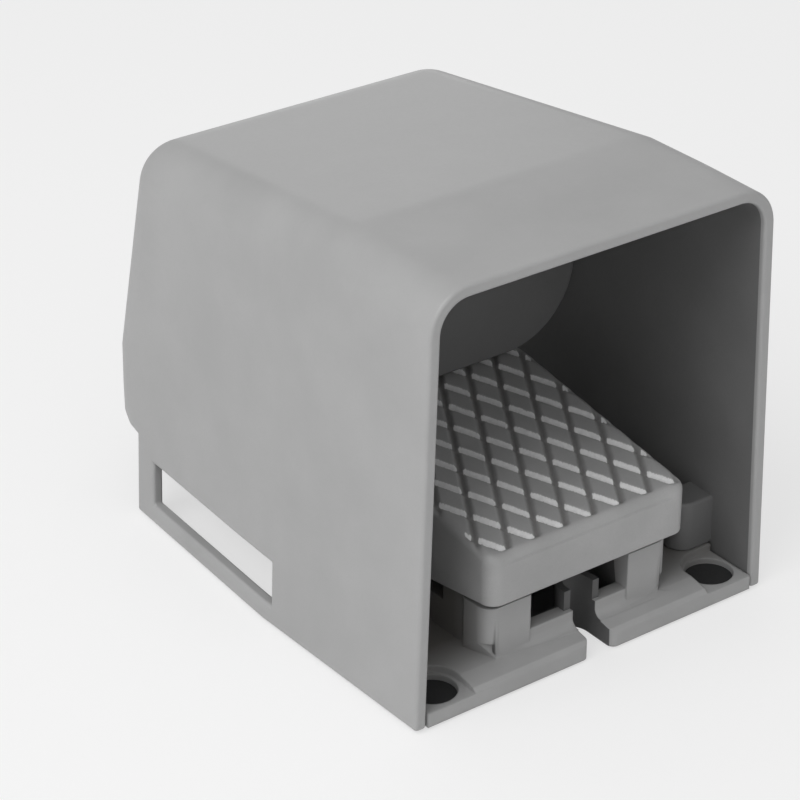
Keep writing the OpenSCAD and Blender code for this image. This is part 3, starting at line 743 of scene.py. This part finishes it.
def tread_lines(length):
    """Distances from one side of the tread: close together over its rounded edges."""
    edge = [EDGE_R * (1 - math.cos(math.pi / 2 * k / EDGE_STEPS)) for k in range(EDGE_STEPS + 1)]
    steps = round((length - 2 * EDGE_R) / TREAD_STEP)
    middle = [EDGE_R + (length - 2 * EDGE_R) * k / steps for k in range(1, steps)]
    return edge + middle + [length - d for d in reversed(edge)]


def tread_plan(u, v, inset=0.0):
    """A place on the tread from its distances to the left and front sides, turned round the corners."""
    near_x, near_y = min(u, TREAD_W - u), min(v, TREAD_LEN - v)
    side_x = -1 if u < TREAD_W / 2 else 1
    side_y = -1 if v < TREAD_LEN / 2 else 1
    a, b = CORNER_R - near_x, CORNER_R - near_y
    if a > 0 and b > 0:
        reach = max(a, b) - inset
        turn = math.pi / 4 * b / a if a >= b else math.pi / 2 - math.pi / 4 * a / b
        x = side_x * (TREAD_W / 2 - CORNER_R + reach * math.cos(turn))
        y = side_y * (TREAD_LEN / 2 - CORNER_R + reach * math.sin(turn))
    else:
        x = u - TREAD_W / 2 - (side_x * inset if near_x <= near_y else 0)
        y = v - TREAD_LEN / 2 - (side_y * inset if near_y < near_x else 0)
    return x, y + TREAD_Y + TREAD_LEN / 2


def nose_back(x, y):
    """How far the tread's front edge stands back above the front face; it dies out at the corners."""
    start, end = (TREAD_W / 2 - d for d in NOSE_FADE_X)
    return NOSE * (1 - ramp(abs(x), start, end)) * (1 - ramp(y, TREAD_Y, TREAD_Y + NOSE_FADE_Y))


def treadle_shell():
    """The tread and its skirt as one shell, with each point's share of rubbed and highlit flank and its
    share of a groove's depth.
    """
    us, vs = tread_lines(TREAD_W), tread_lines(TREAD_LEN)
    verts, index = [], {}
    rubbed_and_highlit, groove_darkening = [], []
    for i, u in enumerate(us):
        for j, v in enumerate(vs):
            x, y = tread_plan(u, v)
            edge = min(u, TREAD_W - u, v, TREAD_LEN - v)
            z = tread_top(y)
            inner = min(edge, EDGE_R)
            z -= EDGE_R - math.sqrt(max(0.0, EDGE_R ** 2 - (EDGE_R - inner) ** 2))
            cut = groove_depth(x, y) * ramp(edge, 0.0, EDGE_R)
            rubbed_and_highlit.append(flank_rub_and_highlight(x, y) * ramp(edge, 1.0, 2.0))
            groove_darkening.append(cut / GROOVE_D)
            index[i, j] = len(verts)
            verts.append((x, y + nose_back(x, y), z - cut))
    faces = [[index[i, j], index[i + 1, j], index[i + 1, j + 1], index[i, j + 1]]
             for i in range(len(us) - 1) for j in range(len(vs) - 1)]
    ends = (len(us) - 1, len(vs) - 1)
    loop = [(i, 0) for i in range(ends[0])] + [(ends[0], j) for j in range(ends[1])]
    loop += [(i, ends[1]) for i in range(ends[0], 0, -1)] + [(0, j) for j in range(ends[1], 0, -1)]
    rows = [[index[place] for place in loop]]

    def add_row(point):
        start = len(verts)
        verts.extend(point(us[i], vs[j]) for i, j in loop)
        rubbed_and_highlit.extend([0.0] * len(loop))
        groove_darkening.extend([0.0] * len(loop))
        rows.append(list(range(start, start + len(loop))))

    def low_at(u, v):
        x, y = tread_plan(u, v)
        rear = v >= TREAD_LEN and abs(x) <= TREAD_W / 2 - CORNER_R
        return tread_top(y) - TREAD_T - 0.3 if rear else skirt_low(y)

    def wall(height_share, inset=0.0, back=0.0):
        def point(u, v):
            x, y = tread_plan(u, v, inset)
            edge_x, edge_y = tread_plan(u, v)
            high = tread_top(edge_y) - EDGE_R - WALL_TOP
            low = low_at(u, v) + LOW_R
            return x, y + back * nose_back(edge_x, edge_y), low + (high - low) * height_share
        return point

    def step(u, v):
        x, y = tread_plan(u, v)
        return x, y + nose_back(x, y), tread_top(y) - EDGE_R - LINE_H

    def low_round(turn):
        def point(u, v):
            x, y = tread_plan(u, v, LOW_R * (1 - math.cos(turn)))
            return x, y, low_at(u, v) + LOW_R * (1 - math.sin(turn))
        return point

    def inner(high):
        def point(u, v):
            x, y = tread_plan(u, v, SKIRT_WALL)
            return x, y, tread_top(y) - TREAD_T if high else min(low_at(u, v), tread_top(y) - TREAD_T - 0.2)
        return point

    add_row(step)
    for share in WALL_SHARES:
        add_row(wall(share))
    for turn in (30, 60, 90):
        add_row(low_round(math.radians(turn)))
    add_row(inner(False))
    add_row(inner(True))
    count = len(loop)
    for upper, lower in zip(rows, rows[1:]):
        for k in range(count):
            after = (k + 1) % count
            faces.append([upper[k], upper[after], lower[after], lower[k]])
    faces.append(rows[-1])
    return verts, faces, rubbed_and_highlit, groove_darkening


def ringed(centre, axis, low, high, outer, bore, steps=32):
    """A solid with a round bore; outer gives its outline's reach at each angle."""
    def point(turn, reach, depth):
        made = [centre[0] + reach * math.cos(turn), centre[1] + reach * math.sin(turn)]
        made.insert(axis, depth)
        return tuple(made)
    turns = [2 * math.pi * k / steps for k in range(steps)]
    verts = []
    for depth in (low, high):
        verts += [point(t, outer(t), depth) for t in turns]
        verts += [point(t, bore, depth) for t in turns]
    faces = []
    for k in range(steps):
        n = (k + 1) % steps
        for a, b in ((0, 1), (1, 3), (3, 2), (2, 0)):
            faces.append([a * steps + k, a * steps + n, b * steps + n, b * steps + k])
    return verts, faces


def lug(side):
    """Bearing lug under the tread, with the bore for its bush."""
    rise = tread_top(PIVOT_Y) - TREAD_T + SINK - PIVOT_Z

    def reach(turn):
        if math.sin(turn) <= 0:
            return LUG_R
        return min(LUG_R / max(abs(math.cos(turn)), 1e-6), rise / math.sin(turn))
    low, high = sorted(side * x for x in LUG_XS)
    return ringed((PIVOT_Y, PIVOT_Z), 0, low, high, reach, LUG_BORE, 48)


def rib(side):
    """Stiffening rib from a lug towards the plunger."""
    ceiling = [(y, tread_top(y) - TREAD_T + SINK) for y in (PLUNGER_Y, PIVOT_Y)]
    outline = [(PIVOT_Y, PIVOT_Z), (PLUNGER_Y, tread_top(PLUNGER_Y) - TREAD_T - RIB_DEPTH)] + ceiling
    low, high = sorted(side * x for x in RIB_XS)
    return plate(outline, 0, low, high)


def build_treadle():
    verts, faces, rubbed_and_highlit, groove_darkening = treadle_shell()
    seat_top = tread_top(PLUNGER_Y) - TREAD_T + SEAT_SINK
    stud_top = tread_top(SPRING_Y) - TREAD_T + SEAT_SINK
    last = STUD_SIDES - 1
    stud = arc(0, SPRING_Y, STUD_R, 0, 360 * last / STUD_SIDES, last)
    end = TREAD_Y + TREAD_LEN
    low, high = TAIL_ZS
    tail = [(end - BITE, low), (end + TAIL_LEN, low), (end + TAIL_LEN, high), (end - BITE, high)]
    fittings = [lug(-1), lug(1), rib(-1), rib(1)]
    fittings.append(ringed((0, PLUNGER_Y), 2, PLUNGER_TOP + 4, seat_top, lambda turn: SEAT_R, SEAT_BORE))
    fittings.append(plate(stud, 2, stud_top - STUD_H, stud_top))
    fittings.append(plate(tail, 0, -TAIL_HALF, TAIL_HALF))
    piece = new_piece("treadle_casting", *joined((verts, faces), *fittings), body="treadle")
    for name, values in (("rubbed_and_highlit", rubbed_and_highlit), ("groove_darkening", groove_darkening)):
        layer = piece.data.attributes.new(name, "FLOAT", "POINT")
        for k, value in enumerate(values):
            layer.data[k].value = value
    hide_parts("treadle")
    piece.data.materials.append(FINISHES["treadle"])


# ---------------------------------------------------------------- base

# Pairs of a place across the CAD slot and where it goes: narrower, and a little to the right
SLOT_STEPS = ((-14, -14), (-8.5, -4.6), (-6, -2.1), (6, 6.9), (8.5, 9.4), (14, 14))
COLLAR_END = 21.0
COLLAR_TOP = 20.0
COLLAR_HALF = 7.2
COLLAR_REACH = 12
SLOT_X = 2.4
SLOT_MOUTH = 1.5
DARK_FROM = POST_Y + 5
DARK_TO = 60


def stepped(x, steps):
    """A place moved along by straight steps between pairs of an old and a new place."""
    for (old, new), (next_old, next_new) in zip(steps, steps[1:]):
        if old <= x <= next_old:
            return new + (next_new - new) * (x - old) / (next_old - old)
    return x


def base_point(p):
    """Moves a point of the CAD base so that its slot is narrower and its ridge dies away at the posts."""
    if p.y < COLLAR_END + 1:
        p.x = stepped(p.x, SLOT_STEPS)
        if abs(p.x) < COLLAR_REACH:
            p.z = min(p.z, COLLAR_TOP)
    on_ridge = PLATE_T - CLOSE < p.z < RIDGE_H + CLOSE and p.y < POST_Y + 0.6
    if on_ridge and abs(abs(p.x) - POST_OUT) < CLOSE:
        p.x = math.copysign(POST_OUT - POST_R + 1, p.x)
        p.y = max(p.y, POST_Y + CLOSE)
    return p


def build_base():
    """The base casting: a moved copy of the CAD base, with painted shade in its slot and between its posts.
    """
    bm = bmesh.new()
    bm.from_mesh(NODES["base"].data)
    bmesh.ops.remove_doubles(bm, verts=bm.verts, dist=0.001 * MM)
    zero = at(0, 0, 0)
    for v in bm.verts:
        v.co = at(*base_point((v.co - zero) / MM))
    bmesh.ops.dissolve_degenerate(bm, edges=bm.edges, dist=0.001 * MM)
    mesh = bpy.data.meshes.new("base_casting")
    bm.to_mesh(mesh)
    bm.free()
    piece = bpy.data.objects.new("base_casting", mesh)
    bpy.context.scene.collection.objects.link(piece)
    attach(piece, "frame")
    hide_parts("base")
    mesh.materials.clear()
    mesh.materials.append(FINISHES["base"])
    mesh.materials.append(FINISHES["base_inside"])
    # Slot walls and the floor between the posts take the darker paint: painted shade where the hood and
    # treadle shade them.
    for face in mesh.polygons:
        x, y, z = (face.center - zero) / MM
        in_slot = abs(x - SLOT_X) < COLLAR_HALF and SLOT_MOUTH < y < COLLAR_END
        on_wall = z > RIDGE_H or abs(face.normal.z) < 0.5
        between_posts = abs(x) < POST_IN + CLOSE and DARK_FROM < y < DARK_TO
        if (in_slot and on_wall) or between_posts:
            face.material_index = 1


# ---------------------------------------------------------------- stage, light and camera

def plain_floor():
    """Pale floor that shows white and keeps the switch's shadow."""
    corners = [(x * FLOOR_HALF, y * FLOOR_HALF, 0) for x, y in ((-1, -1), (1, -1), (1, 1), (-1, 1))]
    mesh = bpy.data.meshes.new("floor")
    mesh.from_pydata(corners, [], [(0, 1, 2, 3)])
    floor = bpy.data.objects.new("floor", mesh)
    bpy.context.scene.collection.objects.link(floor)
    m = Shader("pale_floor")
    seen = m.node("ShaderNodeLightPath", output="Is Camera Ray")
    diffuse = m.node("ShaderNodeBsdfDiffuse", {}, {"Color": (0.90, 0.90, 0.90, 1.0)})
    glow = m.node("ShaderNodeEmission", {}, {"Color": WHITE, "Strength": 1.0})
    surface = m.node("ShaderNodeMixShader", {}, {0: seen * FLOOR_WHITE, 1: diffuse, 2: glow})
    m.node("ShaderNodeOutputMaterial", {}, {0: surface})
    floor.data.materials.append(m.material)


def soft_world(level):
    """Even white light from all round, which the camera sees as plain white."""
    world = bpy.data.worlds.new("studio")
    bpy.context.scene.world = world
    n = Nodes(world)
    seen = n.node("ShaderNodeLightPath", output="Is Camera Ray")
    room = n.node("ShaderNodeBackground", {}, {"Color": WHITE, "Strength": level})
    white = n.node("ShaderNodeBackground", {}, {"Color": WHITE, "Strength": 1.0})
    mix = n.node("ShaderNodeMixShader", {}, {0: seen, 1: room, 2: white})
    n.node("ShaderNodeOutputWorld", {}, {0: mix})


def direction(azimuth, elevation):
    """The way from the switch towards an azimuth and an elevation, in degrees."""
    a = math.radians(azimuth)
    e = math.radians(elevation)
    return Vector((math.sin(a) * math.cos(e), -math.cos(a) * math.cos(e), math.sin(e)))


def lamp(name, azimuth, elevation, distance, size, power):
    """A soft square lamp that points at the switch, placed by the direction it shines from."""
    way = direction(azimuth, elevation)
    data = bpy.data.lights.new(name, "AREA")
    data.size = size
    data.energy = power
    made = bpy.data.objects.new(name, data)
    made.location = AIM + way * distance
    made.rotation_euler = (-way).to_track_quat("-Z", "Y").to_euler()
    bpy.context.scene.collection.objects.link(made)


def place_camera():
    data = bpy.data.cameras.new("camera")
    data.lens = CAMERA_LENS
    data.sensor_width = 36.0
    camera = bpy.data.objects.new("camera", data)
    back = direction(CAMERA_TURN, CAMERA_RISE)
    camera.location = CAMERA_PLACE
    camera.rotation_euler = (-back).to_track_quat("-Z", "Y").to_euler()
    data.clip_start = 0.01
    data.clip_end = 50.0
    bpy.context.scene.collection.objects.link(camera)
    bpy.context.scene.camera = camera


paint_nodes()
build_hood()
build_treadle()
build_base()
plain_floor()
soft_world(0.45)
lamp("key", -75, 50, 1.6, 1.2, 13.5)
lamp("front", -10, 35, 1.6, 1.2, 1.0)
lamp("rear_sheen", 147, 7, 1.8, 0.5, 0.9)
place_camera()
bpy.context.scene.view_settings.view_transform = "Standard"
